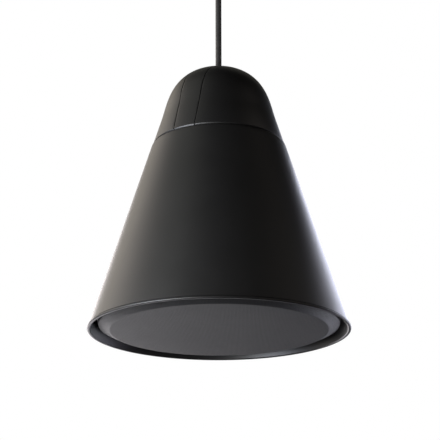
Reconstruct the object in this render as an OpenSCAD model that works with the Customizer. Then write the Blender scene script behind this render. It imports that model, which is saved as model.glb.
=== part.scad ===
// Pendant loudspeaker: a conical housing under a domed cap, hung from a ceiling canopy
// by its own cord. Millimetres, +Z up. The origin is the centre of the ceiling plate's
// upper face. Heights named *_z are measured up from the rim, and hang() puts a piece
// that is built that way under the ceiling.

/* [Housing] */
// Diameter of the cone at its rim
rim_d = 300; // [280:1:320]
// Diameter of the cone at the seam with the cap
seam_d = 160; // [154:1:166]
// Height of the seam above the rim
seam_z = 225; // [215:1:240]
// Wall of the cone
wall = 3; // [2.5:0.1:4]
// Depth of the rounded bead round the rim
bead_h = 2.6; // [2:0.1:3.5]
// How far the bead stands proud of the cone
bead_proud = 0.7; // [0.3:0.1:1.2]
// Shadow groove above the bead, height and depth
bead_groove = 0.8; // [0.5:0.1:1.2]
// Rounding of the cone's upper edge
shoulder_r = 1.6; // [1:0.1:3]
// Shadow gap between the cone and the cap
seam_gap = 1.2; // [0.8:0.1:2]
// Height of the collar that the cap sits over
collar_h = 7; // [5:0.5:10]
// Thickness of the deck that closes the housing
deck_t = 3; // [2.5:0.5:4]
// Depth of the deck below the seam
deck_drop = 3; // [2:0.5:5]
// Width of the ledge that carries the baffle
ledge_w = 14.5; // [13:0.5:16]
// Thickness of that ledge
ledge_t = 3.5; // [3:0.5:5]
// Number of baffle screws, bosses and wall ribs
screw_count = 6; // [4:1:8]

/* [Cap] */
// Height of the dome's top above the rim
cap_top_z = 325; // [318:1:335]
// Height at which the cone line starts to curve into the dome
dome_start_z = 257; // [250:1:264]
// Pull of the dome's curve along the cone line
dome_low_pull = 26; // [22:1:30]
// How much less the crown's flat top reaches than the dome's foot
crown_ease = 10.4; // [8:0.2:14]
// Wall of the cap
cap_wall = 2.4; // [2:0.1:3]
// Set back of the cap from the line of the cone
cap_inset = 0.7; // [0.3:0.1:1.2]
// Chamfer round the cap's lower edge
cap_chamfer = 1.3; // [0.8:0.1:2]
// Width of the strip over the dome, seams included
strip_w = 28; // [24:1:34]
// Seam between the strip and each side cover
strip_gap = 0.9; // [0.6:0.1:1.4]
// Reach of each cover's tongue under the strip
tongue_w = 5; // [3:0.5:6]
// Thickness of that tongue
tongue_t = 1.5; // [1:0.1:2]

/* [Baffle and grille] */
// Height of the baffle's front face above the rim
baffle_z = 8; // [8:0.5:10]
// Thickness of the baffle
baffle_t = 9; // [8:0.5:11]
// Thickness of the foam gasket behind it
gasket_t = 1.5; // [1:0.5:3]
// Gap between the grille and the wall of the cone
grille_gap = 6.6; // [5.5:0.1:8]
// Width of the grille's sloping edge
grille_slope_w = 13.2; // [11:0.2:16]
// Height of the grille's flat face above the rim
grille_z = 0.3; // [0.1:0.1:0.8]
// Depth of the grille's sloping edge
grille_slope_h = 6.3; // [5:0.1:7]
// Height of the grille's skirt
grille_skirt_h = 4.4; // [3:0.1:5]
// Sheet thickness of the grille
grille_t = 1; // [0.8:0.1:1.5]
// Diameter of each grille magnet
magnet_d = 8; // [6:0.5:9]
// Space between each port's inner end and the wall of the cone
port_gap = 0.9; // [0.6:0.1:3]
// Length of each port behind the baffle
port_len = 60; // [40:1:80]
// Space between the woofer's recess and each port
port_space = 4; // [3:0.5:6]

/* [Drive unit] */
// Diameter of the woofer's flange
flange_d = 167; // [164:0.5:168]
// Width of the flange that rests on the baffle
flange_w = 12.5; // [11.5:0.5:13]
// Space between the paper cone and the baffle's cut-out
roll_space = 12; // [11.5:0.5:14]
// Depth of the paper cone
cone_h = 24; // [20:0.5:26]
// Diameter of the voice coil's former
coil_d = 32.8; // [30:0.2:35]
// Diameter of the ring magnet
ferrite_d = 92; // [84:1:100]
// Thickness of the ring magnet
ferrite_t = 15; // [12:0.5:20]
// Diameter of the tweeter's face
tweeter_d = 37; // [32:0.5:42]
// Travel of the woofer either side of rest
travel = 3; // [2:0.5:3.5]

/* [Suspension] */
// Diameter of the suspension cord
cord_d = 7.4; // [6:0.1:8]
// Free length of the cord between its two glands
cord_len = 130; // [125:1:400]
// Height of the gland's collar above the dome
gland_h = 4; // [3:0.5:6]
// Diameter of the ceiling canopy
canopy_d = 100; // [90:1:120]
// Height of the ceiling canopy
canopy_h = 25; // [22:1:35]
// Wall of the canopy
canopy_wall = 1.5; // [1:0.1:2.5]
// Thickness of the ceiling plate
plate_t = 2.5; // [2:0.1:4]
// Spacing of the two ceiling screws
plate_screw_pitch = 60; // [50:1:66]
// Diameter of the ceiling screw holes
plate_hole_d = 5.5; // [4:0.1:6.5]
// Diameter of the wire entry
wire_entry_d = 14; // [10:0.5:18]

/* [Hidden] */
$fn = 96;

black = "#1d1d1e";
steel = "silver";
eps = 0.01;
fit = 0.3;             // clearance round pieces that slip over or into each other
close = 0.05;          // clearance of a glued or screwed joint
far = 400;             // reach of a cutting block

// Sizes that follow from the ones above
cutout_d = flange_d - 2 * flange_w;
cone_d = cutout_d - 2 * roll_space;

// Cone line, cap line and the heights that follow from them
slope = (rim_d - seam_d) / 2 / seam_z;
cone_cos = 1 / sqrt(1 + slope * slope);
cone_len = [-slope, 1] * cone_cos;
wall_r = wall / cone_cos;
cone_top_z = seam_z - seam_gap / 2;
cap_low_z = seam_z + seam_gap / 2;
deck_top_z = cone_top_z - deck_drop;
deck_low_z = deck_top_z - deck_t;
ledge_z = baffle_z + baffle_t + gasket_t;
dome_steps = 18;
fillet_steps = 4;

function cone_r(z) = rim_d / 2 - slope * z;
function cap_r(z) = cone_r(z) - cap_inset;
function inner_r(z) = cone_r(z) - wall_r;
function cap_inner_r(z) = cap_r(z) - cap_wall / cone_cos;
grille_d = 2 * (inner_r(grille_z + grille_slope_h) - grille_gap);
grille_flat_d = grille_d - 2 * grille_slope_w;

// Points on a cubic curve, on an arc and on a line moved inwards by its own normals
function curve4(a, b, c, d, t) =
    pow(1 - t, 3) * a + 3 * pow(1 - t, 2) * t * b + 3 * (1 - t) * t * t * c + pow(t, 3) * d;
function corner(a, b, c, n) =
    [for (i = [0:n]) let (t = i / n) pow(1 - t, 2) * a + 2 * (1 - t) * t * b + t * t * c];
function arc(centre, r, from, to, n) =
    [for (i = [0:n]) let (a = from + (to - from) * i / n) centre + r * [cos(a), sin(a)]];
function reverse(p) = [for (i = [len(p) - 1:-1:0]) p[i]];
function along(p, i) =
    i == 0 ? p[1] - p[0]
    : i == len(p) - 1 ? [-1, 0]
    : (p[i + 1] - p[i]) / norm(p[i + 1] - p[i]) + (p[i] - p[i - 1]) / norm(p[i] - p[i - 1]);
function inward(p, t) =
    [for (i = [0:len(p) - 1]) let (d = along(p, i)) p[i] - t * [d[1], -d[0]] / norm(d)];

dome_a = [cap_r(dome_start_z), dome_start_z];
dome_b = dome_a + dome_low_pull * cone_len;
dome_c = [dome_a[0] - crown_ease, cap_top_z];
dome_d = [0, cap_top_z];
dome_line = [for (i = [0:dome_steps]) curve4(dome_a, dome_b, dome_c, dome_d, i / dome_steps)];

// Pieces built up from the rim hang this far below the ceiling
gland_top_z = cap_top_z + gland_h;
nut_h = 10;
drop = gland_top_z + cord_len + nut_h + canopy_h;
module hang() translate([0, 0, -drop]) children();
module ring_of(n, r, start = 0)
    for (i = [0:n - 1]) rotate(start + i * 360 / n) translate([r, 0, 0]) children();
module washer(r_out, r_in, z, h) translate([0, 0, z]) difference() {
    cylinder(r = r_out, h = h);
    translate([0, 0, -eps]) cylinder(r = r_in, h = h + 2 * eps);
}

// A round tube swept along a route, closed at both ends
function side_of(t, ref) = cross(t, ref) / norm(cross(t, ref));
function heading(p, i) =
    i == 0 ? p[1] - p[0] : i == len(p) - 1 ? p[i] - p[i - 1] : p[i + 1] - p[i - 1];
module swept(route, d, ref, sides = 10) {
    n = len(route);
    rings = [for (i = [0:n - 1])
        let (t = heading(route, i) / norm(heading(route, i)), u = side_of(t, ref), v = cross(t, u))
        for (k = [0:sides - 1]) route[i] + d / 2 * (cos(k * 360 / sides) * u + sin(k * 360 / sides) * v)];
    skin = [for (i = [0:n - 2]) for (k = [0:sides - 1])
        let (a = i * sides + k, b = i * sides + (k + 1) % sides) [a, a + sides, b + sides, b]];
    first = [for (k = [0:sides - 1]) k];
    last = [for (k = [sides - 1:-1:0]) (n - 1) * sides + k];
    polyhedron(points = rings, faces = concat(skin, [first, last]));
}

// Ceiling fitting: plate, hollow stem, canopy and the nut that grips the cord
stem_d = 13;
stem_bore_d = 8.4;
canopy_round = 9;
canopy_lift = 0.4;     // the canopy's edge stops just short of the ceiling
stem_end = -canopy_h - 3;
wire_entry_y = 24;
module ceiling_plate() {
    color(steel) translate([0, 0, -plate_t]) difference() {
        cylinder(r = canopy_d / 2 - canopy_wall - 1, h = plate_t);
        for (s = [-1, 1]) translate([s * plate_screw_pitch / 2, 0, -eps])
            cylinder(d = plate_hole_d, h = plate_t + 2 * eps);
        translate([0, wire_entry_y, -eps]) cylinder(d = wire_entry_d, h = plate_t + 2 * eps);
    }
}
module ceiling_stem() {
    color(steel) difference() {
        translate([0, 0, stem_end]) cylinder(d = stem_d, h = -stem_end - plate_t);
        translate([0, 0, stem_end - eps]) cylinder(d = stem_bore_d, h = -stem_end - plate_t - 3);
        translate([0, -stem_bore_d / 2, -plate_t - 10]) cube([stem_d, stem_bore_d, 7]);
    }
}
module ceiling_canopy() {
    r = canopy_d / 2;
    outer = concat([[stem_d / 2 + fit, -canopy_h]],
        corner([r - canopy_round, -canopy_h], [r, -canopy_h], [r, -canopy_h + canopy_round], 8),
        [[r, -canopy_lift]]);
    inner = concat([[r - canopy_wall, -canopy_lift]],
        corner([r - canopy_wall, -canopy_h + canopy_round], [r - canopy_wall, -canopy_h + canopy_wall],
            [r - canopy_round, -canopy_h + canopy_wall], 8),
        [[stem_d / 2 + fit, -canopy_h + canopy_wall]]);
    color(black) rotate_extrude() polygon(concat(outer, inner));
}
module canopy_nut() {
    r = stem_d / 2 + 3;
    low = -canopy_h - nut_h;
    socket = stem_d / 2 + close;
    color(black) rotate_extrude() polygon(concat(
        [[cord_d / 2 + close, low], [cord_d / 2 + 2, low]],
        corner([r - 1, low + 4], [r, low + 5], [r, low + 6.5], fillet_steps),
        [[r, -canopy_h], [socket, -canopy_h], [socket, stem_end], [cord_d / 2 + close, stem_end]]));
}

// Suspension cord, straight from inside the stem down to the ferrule under the dome
cord_top = stem_end + 8;
cord_rings = 16;
module suspension_cord() {
    reach = cord_top + drop - ferrule_low_z;
    route = [for (i = [0:cord_rings]) [0, 0, cord_top - i * reach / cord_rings]];
    color(black) swept(route, cord_d, [1, 0, 0], 12);
}

// Gland in the dome's top, the nut under the bracket and the ferrule on the cord's core
gland_r = cord_d / 2 + 3.6;
gland_stem_r = cord_d / 2 + 2.2;
web_top_z = cap_top_z - 9;
web_t = 3;
gland_nut_t = 5;
gland_low_z = web_top_z - web_t - gland_nut_t - 1;
module top_gland() {
    bore = cord_d / 2 + close;
    seat = cap_top_z + 0.05;
    color(black) hang() rotate_extrude() polygon(concat(
        [[bore, gland_low_z], [gland_stem_r, gland_low_z], [gland_stem_r, seat], [gland_r, seat]],
        corner([gland_r, gland_top_z - 2], [gland_r, gland_top_z], [gland_r - 2, gland_top_z], fillet_steps),
        [[bore, gland_top_z]]));
}
module gland_nut() {
    color(steel) hang() translate([0, 0, web_top_z - web_t - gland_nut_t]) difference() {
        cylinder(r = gland_stem_r + 4, h = gland_nut_t, $fn = 6);
        translate([0, 0, -eps]) cylinder(r = gland_stem_r + close, h = gland_nut_t + 2 * eps);
    }
}
ferrule_h = 9;
ferrule_low_z = gland_low_z - ferrule_h - 0.1;
module cord_ferrule() {
    color(steel) hang() washer(gland_stem_r - 0.3, cord_d / 2 + close, ferrule_low_z, ferrule_h);
}

// Hanger bracket: a folded steel strap from the deck to the gland
bracket_w = 24;
bracket_foot_y = 52;
bracket_foot = 14;
web_half = 20;
bracket_screw_y = bracket_foot_y + bracket_foot / 2 - 1;
leg_t = 3;
module hanger_bracket() {
    side = [[0, web_top_z], [web_half, web_top_z], [bracket_foot_y, deck_top_z + leg_t],
        [bracket_foot_y + bracket_foot, deck_top_z + leg_t], [bracket_foot_y + bracket_foot, deck_top_z],
        [bracket_foot_y - leg_t, deck_top_z], [web_half - leg_t, web_top_z - web_t], [0, web_top_z - web_t]];
    color(steel) hang() difference() {
        for (s = [0, 1]) mirror([0, s, 0]) rotate([90, 0, 90])
            translate([0, 0, -bracket_w / 2]) linear_extrude(bracket_w) polygon(side);
        translate([0, 0, web_top_z - web_t - eps]) cylinder(r = gland_stem_r + close, h = web_t + 2 * eps);
        for (s = [-1, 1]) translate([0, s * bracket_screw_y, deck_top_z - eps])
            cylinder(r = 2.1, h = leg_t + 2 * eps);
    }
}
module pan_screw(size, len) {
    head_r = size[1];
    head_h = size[2];
    slot_w = head_r * 0.2;
    difference() {
        union() {
            cylinder(r = size[0], h = len);
            translate([0, 0, len]) cylinder(r = head_r, h = head_h);
        }
        for (a = [0, 90]) rotate(a) translate([-head_r * 0.6, -slot_w / 2, len + head_h * 0.6])
            cube([head_r * 1.2, slot_w, head_h]);
    }
}
bracket_screw = [1.95, 3.8, 2.4];   // shank radius, head radius, head height
bracket_screw_len = leg_t + deck_t + 3;
module bracket_screws() {
    color(steel) hang() for (s = [-1, 1])
        translate([0, s * bracket_screw_y, deck_top_z + leg_t - bracket_screw_len])
            pan_screw(bracket_screw, bracket_screw_len);
}

// The tail of the cord inside the cap, from the ferrule to the terminal block
block_x = -42;
block_size = [16, 40, 17];
feed_route = [[0, 0, 297], [0, 0, 292], [-1.5, 0, 285], [-5, 0, 277], [-10, 0, 269], [-16, 0, 262],
    [-23, 0, 255.5], [-30, 0, 250.5], [-36, 0, 246.8], [-40, 0, 244], [-41.6, 0, 241.8], [-42, 0, 240.2],
    [-42, 0, 238.7]];
module feed_lead() {
    color(black) hang() swept(feed_route, cord_d - 1.4, [0, 1, 0], 8);
}

// Cap: a domed shell in three pieces, a strip over the top and a cover each side
module cap_shell(depth, t) {
    side = concat([[cap_r(cap_low_z), cap_low_z]], dome_line);
    rotate_extrude() polygon(concat(inward(side, depth), reverse(inward(side, depth + t))));
}
module cap_edge_cut() {
    // The chamfer round the lower edge
    rotate_extrude() polygon([[cap_r(cap_low_z) - cap_chamfer, cap_low_z - 1],
        [cap_r(cap_low_z) - cap_chamfer, cap_low_z],
        [cap_r(cap_low_z + cap_chamfer), cap_low_z + cap_chamfer],
        [cap_r(cap_low_z) + 5, cap_low_z + cap_chamfer], [cap_r(cap_low_z) + 5, cap_low_z - 1]]);
}
strip_half = strip_w / 2;
strip_t = cap_wall - 0.6;
lap = 3;               // width over which a cover's wall and its tongue are one
module cap_strip() {
    color(black) hang() difference() {
        union() {
            intersection() {
                cap_shell(0, strip_t);
                translate([-(strip_half - strip_gap / 2), -far / 2, 0])
                    cube([strip_w - strip_gap, far, far]);
            }
            // a boss under the crown, and it rests on the bracket
            washer(gland_r + 2, gland_stem_r + close, web_top_z, cap_top_z - cap_wall + 0.5 - web_top_z);
        }
        cap_edge_cut();
        translate([0, 0, web_top_z - eps]) cylinder(r = gland_stem_r + close, h = far);
    }
}
module cap_cover() {
    edge = strip_half + strip_gap / 2;
    inside = strip_half - tongue_w;
    difference() {
        union() {
            intersection() {
                cap_shell(0, cap_wall);
                translate([edge, -far / 2, 0]) cube(far);
            }
            intersection() {
                cap_shell(strip_t + 0.2, tongue_t);
                translate([inside, -far / 2, cap_low_z + collar_h + 1]) cube([edge + lap - inside, far, far]);
            }
        }
        cap_edge_cut();
        // room for the gland's boss
        cylinder(r = gland_r + 4, h = far);
    }
}
module cap_cover_right() { color(black) hang() cap_cover(); }
module cap_cover_left() { color(black) hang() mirror([1, 0, 0]) cap_cover(); }

// Terminal block and power tap switch on the deck, under the cap
terminal_pitch = 9;
module terminal_block() {
    color("darkgreen") hang() translate([block_x, 0, deck_top_z]) difference() {
        translate([-block_size[0] / 2, -block_size[1] / 2, 0]) cube(block_size);
        for (i = [-1.5:1:1.5]) translate([block_size[0] / 2 - 5, i * terminal_pitch, block_size[2] - 5])
            cylinder(r = 2.6, h = 6);
        for (i = [-1.5:1:1.5]) translate([block_size[0] / 2 - 4, i * terminal_pitch - 2.5, 3])
            cube([5, 5, 6]);
    }
}
module terminal_screws() {
    color(steel) hang() for (i = [-1.5:1:1.5])
        translate([block_x + block_size[0] / 2 - 5, i * terminal_pitch, deck_top_z + block_size[2] - 4.95])
            difference() {
                cylinder(r = 2.3, h = 3.2);
                translate([-3, -0.4, 2.2]) cube([6, 0.8, 2]);
            }
}
switch_x = 42;
switch_r = 13;
switch_h = 9;
shaft_r = 3;
bush_h = 4;
module tap_switch() {
    color("dimgray") hang() translate([switch_x, 0, 0]) difference() {
        union() {
            translate([0, 0, deck_low_z - switch_h]) cylinder(r = switch_r, h = switch_h);
            translate([0, 0, deck_low_z - 1]) cylinder(r = 5 - close, h = deck_t + bush_h + 1);
        }
        translate([0, 0, deck_low_z - switch_h + 3]) cylinder(r = shaft_r + close, h = far);
    }
}
knob_z = deck_top_z + bush_h + 0.3;
knob_h = 12;
knob_r = 12;
grip_r = 8.5;
scallops = 12;
shaft_in = knob_h - 4;  // depth of the knob's blind bore
module tap_shaft() {
    low = deck_low_z - switch_h + 3.2;
    high = knob_z + shaft_in - 0.2;
    color(steel) hang() translate([switch_x, 0, low]) cylinder(r = shaft_r, h = high - low);
}
module tap_knob() {
    color(black) hang() translate([switch_x, 0, knob_z]) difference() {
        union() {
            cylinder(r = knob_r, h = 3);
            cylinder(r = grip_r, h = knob_h);
            translate([-2.5, 0, 3 - eps]) cube([5, 11.5, knob_h - 3]);
        }
        translate([-0.6, 4, knob_h - 0.8]) cube([1.2, 6, 1]);
        ring_of(scallops, knob_r + 0.4) cylinder(r = 1.2, h = 2 * knob_h, center = true, $fn = 24);
        translate([0, 0, -eps]) cylinder(r = shaft_r + 0.02, h = shaft_in);
    }
}

// Housing: cone, rim bead, ledge, deck and cap collar in one moulding
boss_r = 5;
boss_pos = inner_r(ledge_z) - ledge_w + boss_r + 1.2;
boss_h = 22;
boss_top_z = ledge_z + boss_h;
pilot_r = 1.75;
pilot_h = 18;
rib_depth = 6;
lead_hole = [0, -30];
lead_hole_r = 5;
module housing_section() {
    r = rim_d / 2;
    bead_r = bead_h / 2;
    bead = arc([r + bead_proud - bead_r, bead_r], bead_r, -90, 60, 8);
    groove_z = bead_h + bead_groove;
    collar = [[cap_inner_r(cone_top_z) - fit, cone_top_z],
        [cap_inner_r(cone_top_z + collar_h) - fit, cone_top_z + collar_h],
        [cap_inner_r(cone_top_z + collar_h) - fit - 2, cone_top_z + collar_h],
        [cap_inner_r(cone_top_z + collar_h) - fit - 2, deck_top_z], [0, deck_top_z]];
    polygon(concat(
        [[r - wall_r + 0.9, 0]], bead,
        [[cone_r(bead_h) - bead_groove, bead_h], [cone_r(groove_z) - bead_groove, groove_z],
            [cone_r(groove_z + 0.3), groove_z + 0.3]],
        corner([cone_r(cone_top_z - shoulder_r), cone_top_z - shoulder_r], [cone_r(cone_top_z), cone_top_z],
            [cone_r(cone_top_z) - shoulder_r, cone_top_z], fillet_steps),
        collar,
        [[0, deck_low_z], [inner_r(deck_low_z), deck_low_z],
            [inner_r(ledge_z + ledge_t), ledge_z + ledge_t], [inner_r(ledge_z) - ledge_w, ledge_z + ledge_t],
            [inner_r(ledge_z) - ledge_w, ledge_z], [inner_r(ledge_z), ledge_z], [inner_r(0.9), 0.9]]));
}
module wall_rib() {
    rib_low = boss_top_z - 2;
    rotate([90, 0, 0]) translate([0, 0, -1]) linear_extrude(2) polygon([
        [inner_r(rib_low) - rib_depth, rib_low], [inner_r(rib_low) + 1, rib_low],
        [inner_r(deck_low_z) + 1, deck_low_z + 1], [inner_r(deck_low_z) - rib_depth, deck_low_z + 1]]);
}
module housing() {
    color(black) hang() difference() {
        union() {
            rotate_extrude($fn = 180) housing_section();
            ring_of(screw_count, boss_pos) translate([0, 0, ledge_z]) cylinder(r = boss_r, h = boss_h);
            for (i = [0:screw_count - 1]) rotate(i * 360 / screw_count) wall_rib();
            for (s = [-1, 1]) translate([0, s * bracket_screw_y, deck_low_z - 6]) cylinder(r = 4.5, h = 7);
        }
        ring_of(screw_count, boss_pos) translate([0, 0, ledge_z - eps]) cylinder(r = pilot_r, h = pilot_h);
        for (s = [-1, 1]) translate([0, s * bracket_screw_y, deck_low_z - 4]) cylinder(r = 2, h = deck_t + 5);
        translate([switch_x, 0, deck_low_z - 1]) cylinder(r = 5, h = deck_t + 2);
        translate([lead_hole[0], lead_hole[1], deck_low_z - 1]) cylinder(r = lead_hole_r, h = deck_t + 2);
    }
}

// Line transformer under the deck: a shell core, its winding on the middle limb, and a strap
core_size = [20, 54, 45];
core_x = -40;
limb = 9;
winding_over = 8;      // how far the winding stands out of the core's faces
strap_w = 16;
strap_t = 2;
strap_foot = 12;
strap_leg = 30;
core_top_z = deck_low_z - strap_t;
core_low_z = core_top_z - core_size[2];
window_h = core_size[2] - 2 * limb;
window_w = (core_size[1] - 4 * limb) / 2;
window_y = limb + window_w / 2;
module transformer_core() {
    color("dimgray") hang() translate([core_x, 0, core_low_z]) difference() {
        translate([-core_size[0] / 2, -core_size[1] / 2, 0]) cube(core_size);
        for (s = [-1, 1]) translate([-core_size[0], s * window_y - window_w / 2, limb])
            cube([2 * core_size[0], window_w, window_h]);
    }
}
module transformer_winding() {
    half = limb + window_w - close;
    color("darkorange") hang() translate([core_x, 0, core_low_z + limb + close]) difference() {
        h = window_h - 2 * close;
        translate([-core_size[0] / 2 - winding_over, -half, 0])
            cube([core_size[0] + 2 * winding_over, 2 * half, h]);
        translate([-core_size[0] / 2 - close, -limb - close, -eps])
            cube([core_size[0] + 2 * close, 2 * (limb + close), h + 2 * eps]);
    }
}
module transformer_strap() {
    y = core_size[1] / 2 + close;
    foot = y + strap_foot;
    low = core_top_z - strap_leg;
    side = [[-foot, deck_low_z], [foot, deck_low_z], [foot, core_top_z], [y + strap_t, core_top_z],
        [y + strap_t, low], [y, low], [y, core_top_z], [-y, core_top_z],
        [-y, low], [-y - strap_t, low], [-y - strap_t, core_top_z], [-foot, core_top_z]];
    color(steel) hang() translate([core_x - strap_w / 2, 0, 0]) rotate([90, 0, 90])
        linear_extrude(strap_w) polygon(side);
}

// Crossover board under the deck, its standoffs and its parts
board_size = [58, 92, 1.6];
board_gap = 2.6;       // space between the board's outer corners and the wall
board_reach = inner_r(deck_low_z) - board_gap;
board_x = sqrt(pow(board_reach, 2) - pow(board_size[1] / 2, 2)) - board_size[0];
board_drop = 12;       // space between the deck and the board
board_hole_in = 5;
board_z = deck_low_z - board_drop;
board_low_z = board_z - board_size[2];
standoff_r = 3;
standoff_pin_r = 1.4;
standoff_head = 2;
choke_r = 14;
choke_bore_r = 6;
choke_h = 14;
choke_pos = [20, 24];
can_cap_r = 7;
can_cap_l = 16;
can_cap_pos = [39, 16];
ceramic_size = [16, 8, 8];
ceramic_pos = [36, 33];
module board_corners() for (x = [board_x + board_hole_in, board_x + board_size[0] - board_hole_in])
    for (s = [-1, 1]) translate([x, s * (board_size[1] / 2 - board_hole_in), 0]) children();
module crossover_board() {
    notch = lead_hole_r + 3;
    color("darkgreen") hang() translate([0, 0, board_low_z]) difference() {
        translate([board_x, -board_size[1] / 2, 0]) cube(board_size);
        board_corners() translate([0, 0, -eps])
            cylinder(r = standoff_pin_r + 0.2, h = board_size[2] + 2 * eps, $fn = 48);
        translate([board_x - 1, lead_hole[1] - notch, -1]) cube([notch, 2 * notch, board_size[2] + 2]);
    }
}
module board_standoffs() {
    color("white") hang() board_corners() {
        translate([0, 0, board_z]) cylinder(r = standoff_r, h = board_drop, $fn = 48);
        translate([0, 0, board_low_z - standoff_head]) {
            cylinder(r = standoff_pin_r, h = board_size[2] + standoff_head + 0.5, $fn = 48);
            cylinder(r = standoff_pin_r + 1, h = standoff_head, $fn = 48);
        }
    }
}
module inductors() {
    color("peru") hang() for (s = [-1, 1]) translate([board_x + choke_pos[0], s * choke_pos[1], 0])
        washer(choke_r, choke_bore_r, board_low_z - choke_h, choke_h);
}
module capacitors() {
    color("saddlebrown") hang() for (i = [-1:1])
        translate([board_x + can_cap_pos[0], i * can_cap_pos[1], board_low_z - can_cap_r])
            rotate([0, 90, 0]) cylinder(r = can_cap_r, h = can_cap_l);
}
module resistors() {
    color("white") hang() for (s = [-1, 1])
        translate([board_x + ceramic_pos[0], s * ceramic_pos[1], board_low_z - ceramic_size[2]])
            translate([0, -ceramic_size[1] / 2, 0]) cube(ceramic_size);
}

// Baffle with its gasket, screws and two ports
baffle_r = inner_r(ledge_z) - 2.2;
baffle_front_r = grille_d / 2 - grille_t - 0.6;
step_z = grille_z + grille_slope_h + grille_skirt_h + 0.5;
flange_t = 1.5;
flange_z = baffle_z + 4;
recess_top_z = flange_z + flange_t;
recess_r = flange_d / 2 + 0.5;
port_wall = 2;
port_back_z = baffle_z + baffle_t + port_len;
port_r = (inner_r(port_back_z) - port_gap - recess_r - port_space) / 2 - port_wall;
port_angle = 30;
port_pos = recess_r + port_space + port_r + port_wall;
head_recess = 3;
magnet_t = 3;
magnet_pos = baffle_front_r - magnet_d / 2 - 1.2;
module baffle() {
    color(black) hang() difference() {
        union() {
            translate([0, 0, baffle_z]) cylinder(r = baffle_front_r, h = baffle_t);
            translate([0, 0, step_z]) cylinder(r = baffle_r, h = baffle_z + baffle_t - step_z);
            washer(cutout_d / 2 + 4, cutout_d / 2, baffle_z + baffle_t - 1, 6);
        }
        translate([0, 0, baffle_z - eps]) cylinder(r = recess_r, h = recess_top_z - baffle_z + eps);
        cylinder(d = cutout_d, h = far);
        for (s = [0, 180]) rotate(port_angle + s) translate([port_pos, 0, 0])
            cylinder(r = port_r + port_wall + close, h = far);
        ring_of(screw_count, boss_pos) cylinder(r = 2.3, h = far, $fn = 48);
        ring_of(screw_count, boss_pos) translate([0, 0, baffle_z - eps])
            cylinder(r = 4.4, h = head_recess + eps, $fn = 48);
        ring_of(screw_count, magnet_pos, 180 / screw_count) translate([0, 0, baffle_z - eps])
            cylinder(d = magnet_d + 2 * close, h = magnet_t + eps, $fn = 48);
        ring_of(4, basket_screw_pos, 45) cylinder(r = 1.6, h = far, $fn = 48);
    }
}
module grille_magnets() {
    color(steel) hang() ring_of(screw_count, magnet_pos, 180 / screw_count)
        translate([0, 0, baffle_z]) cylinder(d = magnet_d, h = magnet_t, $fn = 48);
}
module baffle_gasket() {
    color("dimgray") hang() difference() {
        washer(baffle_r, inner_r(ledge_z) - ledge_w, baffle_z + baffle_t, gasket_t);
        ring_of(screw_count, boss_pos) translate([0, 0, 0]) cylinder(r = 2.3, h = far, $fn = 48);
    }
}
baffle_screw_bite = 12;
baffle_screw = [1.7, 3.9, 2.6];     // shank radius, head radius, head height
baffle_screw_len = baffle_t + gasket_t - head_recess + baffle_screw_bite;
module baffle_screws() {
    color(steel) hang() ring_of(screw_count, boss_pos)
        translate([0, 0, baffle_z + head_recess + baffle_screw_len]) mirror([0, 0, 1])
            pan_screw(baffle_screw, baffle_screw_len);
}
module port_tube() {
    front = baffle_z;
    mouth = 6;
    hang() translate([port_pos, 0, 0]) rotate_extrude() polygon(concat(
        corner([port_r + port_wall, front], [port_r, front], [port_r, front + mouth], fillet_steps),
        [[port_r, port_back_z], [port_r + port_wall, port_back_z], [port_r + port_wall, front + 0.5]]));
}
module port_left() { color(black) rotate(port_angle + 180) port_tube(); }
module port_right() { color(black) rotate(port_angle) port_tube(); }

// Woofer: stamped basket, gasket and screws
basket_screw_pos = flange_d / 2 - 5.5;
basket_sheet = 1.4;
basket_low_r = cutout_d / 2 - 1.5;
basket_top_r = ferrite_d / 2 + 1;
seat_z = flange_z + cone_h + 8.5;
basket_back_z = seat_z + 6;
plate5 = 5;
arm_window = 30;
module woofer_basket() {
    b = basket_sheet;
    ring_in = cone_d / 2 + 9.5;
    color("dimgray") hang() difference() {
        rotate_extrude() polygon([
            [ring_in, flange_z], [flange_d / 2, flange_z], [flange_d / 2, recess_top_z],
            [basket_low_r, recess_top_z], [basket_low_r, recess_top_z + 3], [basket_top_r + 2, seat_z],
            [basket_top_r, basket_back_z + b], [coil_d / 2 + 3, basket_back_z + b],
            [coil_d / 2 + 3, basket_back_z],
            [basket_top_r - b, basket_back_z], [basket_top_r - b, seat_z + b], [basket_top_r - 9, seat_z + b],
            [basket_top_r - 9, seat_z], [basket_top_r + 2 - 1.5 * b, seat_z],
            [basket_low_r - 1.5 * b, recess_top_z + 3], [basket_low_r - 1.5 * b, recess_top_z],
            [ring_in, recess_top_z]]);
        ring_of(4, basket_screw_pos, 45) translate([0, 0, flange_z - 1]) cylinder(r = 2.2, h = 5, $fn = 48);
        for (i = [0:5]) rotate(i * 60) translate([basket_top_r - 8, -arm_window / 2, recess_top_z + 4])
            cube([basket_low_r, arm_window, seat_z - recess_top_z - 6]);
    }
}
woofer_gasket_t = 1.8;
gasket_lip = 3;
module woofer_gasket() {
    color(black) hang() difference() {
        washer(flange_d / 2 - fit, cutout_d / 2 + gasket_lip, flange_z - woofer_gasket_t, woofer_gasket_t);
        ring_of(4, basket_screw_pos, 45) translate([0, 0, flange_z - 3]) cylinder(r = 4, h = 5, $fn = 48);
    }
}
woofer_screw = [1.5, 3.4, 2];       // shank radius, head radius, head height
woofer_screw_len = 12;
module woofer_screws() {
    color(steel) hang() ring_of(4, basket_screw_pos, 45)
        translate([0, 0, flange_z + woofer_screw_len]) mirror([0, 0, 1])
            pan_screw(woofer_screw, woofer_screw_len);
}

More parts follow.
